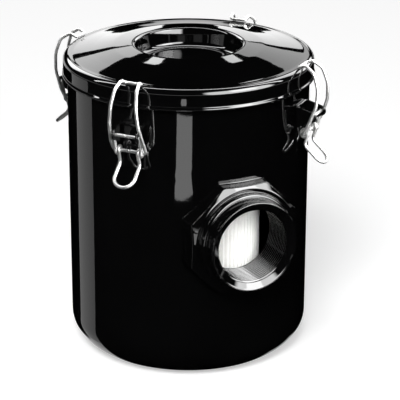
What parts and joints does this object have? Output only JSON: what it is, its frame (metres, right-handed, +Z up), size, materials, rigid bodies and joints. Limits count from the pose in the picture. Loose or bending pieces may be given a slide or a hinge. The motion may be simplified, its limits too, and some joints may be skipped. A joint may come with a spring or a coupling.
{
  "type": "vacuum pump inlet filter",
  "caption": "Round black steel canister with a threaded side inlet, a latched lid with a deep central well and a pleated paper element inside.",
  "frame": {"origin": "on the canister axis, at the mouth of the outlet socket, level with the ring that the canister stands on", "axes": "+Z up along the canister axis, towards the lid; -Y out of the side inlet; +X to the right of someone who faces the inlet"},
  "size_m": [0.1964, 0.2182, 0.2464],
  "materials": {
    "black_paint": "gloss",
    "bright_wire": "bright zinc plated",
    "zinc_steel": "satin",
    "rubber": "matte",
    "filter_paper": "matte pleated paper"
  },
  "bodies": {
    "housing": {"canister_body": "black_paint", "inlet_port": "black_paint", "outlet_port": "black_paint", "latch_1_bracket": "black_paint", "latch_2_bracket": "black_paint", "latch_3_bracket": "black_paint", "latch_4_bracket": "black_paint"},
    "lid": {"lid": "black_paint", "lid_gasket": "rubber"},
    "filter_element": {"element_media": "filter_paper", "element_inner_tube": "zinc_steel", "element_top_cap": "zinc_steel", "element_bottom_cap": "zinc_steel", "element_top_pad": "rubber", "element_bottom_seal": "rubber"},
    "lever_1": {"latch_1_lever": "bright_wire"},
    "bail_1": {"latch_1_bail": "bright_wire"},
    "lever_2": {"latch_2_lever": "bright_wire"},
    "bail_2": {"latch_2_bail": "bright_wire"},
    "lever_3": {"latch_3_lever": "bright_wire"},
    "bail_3": {"latch_3_bail": "bright_wire"},
    "lever_4": {"latch_4_lever": "bright_wire"},
    "bail_4": {"latch_4_bail": "bright_wire"}
  },
  "joints": [
    {"name": "lid_lift", "type": "slide", "parent": "housing", "child": "lid", "axis": [0, 0, 1], "range_m": [0, 0.06]},
    {"name": "element_lift", "type": "slide", "parent": "housing", "child": "filter_element", "axis": [0, 0, 1], "range_m": [0, 0.03]},
    {"name": "latch_1_lever", "type": "hinge", "parent": "housing", "child": "lever_1", "pos_m": [-0.08273, -0.06942, 0.203], "axis": [-0.6428, 0.766, 0], "range_deg": [0, 110]},
    {"name": "latch_1_bail", "type": "hinge", "parent": "lever_1", "child": "bail_1", "pos_m": [-0.07852, -0.06589, 0.1895], "axis": [-0.6428, 0.766, 0], "range_deg": [-209, 0]},
    {"name": "latch_2_lever", "type": "hinge", "parent": "housing", "child": "lever_2", "pos_m": [0.06942, -0.08273, 0.203], "axis": [-0.766, -0.6428, 0], "range_deg": [0, 110]},
    {"name": "latch_2_bail", "type": "hinge", "parent": "lever_2", "child": "bail_2", "pos_m": [0.06589, -0.07852, 0.1895], "axis": [-0.766, -0.6428, 0], "range_deg": [-209, 0]},
    {"name": "latch_3_lever", "type": "hinge", "parent": "housing", "child": "lever_3", "pos_m": [0.08273, 0.06942, 0.203], "axis": [0.6428, -0.766, 0], "range_deg": [0, 110]},
    {"name": "latch_3_bail", "type": "hinge", "parent": "lever_3", "child": "bail_3", "pos_m": [0.07852, 0.06589, 0.1895], "axis": [0.6428, -0.766, 0], "range_deg": [-209, 0]},
    {"name": "latch_4_lever", "type": "hinge", "parent": "housing", "child": "lever_4", "pos_m": [-0.06942, 0.08273, 0.203], "axis": [0.766, 0.6428, 0], "range_deg": [0, 110]},
    {"name": "latch_4_bail", "type": "hinge", "parent": "lever_4", "child": "bail_4", "pos_m": [-0.06589, 0.07852, 0.1895], "axis": [0.766, 0.6428, 0], "range_deg": [-209, 0]}
  ],
  "couplings": [
    {"joint": "element_lift", "follows": "lid_lift", "ratio": 0.5},
    {"joint": "latch_1_lever", "follows": "lid_lift", "rad_per_m": 31.993},
    {"joint": "latch_1_bail", "follows": "lid_lift", "rad_per_m": -60.787},
    {"joint": "latch_2_lever", "follows": "lid_lift", "rad_per_m": 31.993},
    {"joint": "latch_2_bail", "follows": "lid_lift", "rad_per_m": -60.787},
    {"joint": "latch_3_lever", "follows": "lid_lift", "rad_per_m": 31.993},
    {"joint": "latch_3_bail", "follows": "lid_lift", "rad_per_m": -60.787},
    {"joint": "latch_4_lever", "follows": "lid_lift", "rad_per_m": 31.993},
    {"joint": "latch_4_bail", "follows": "lid_lift", "rad_per_m": -60.787}
  ]
}
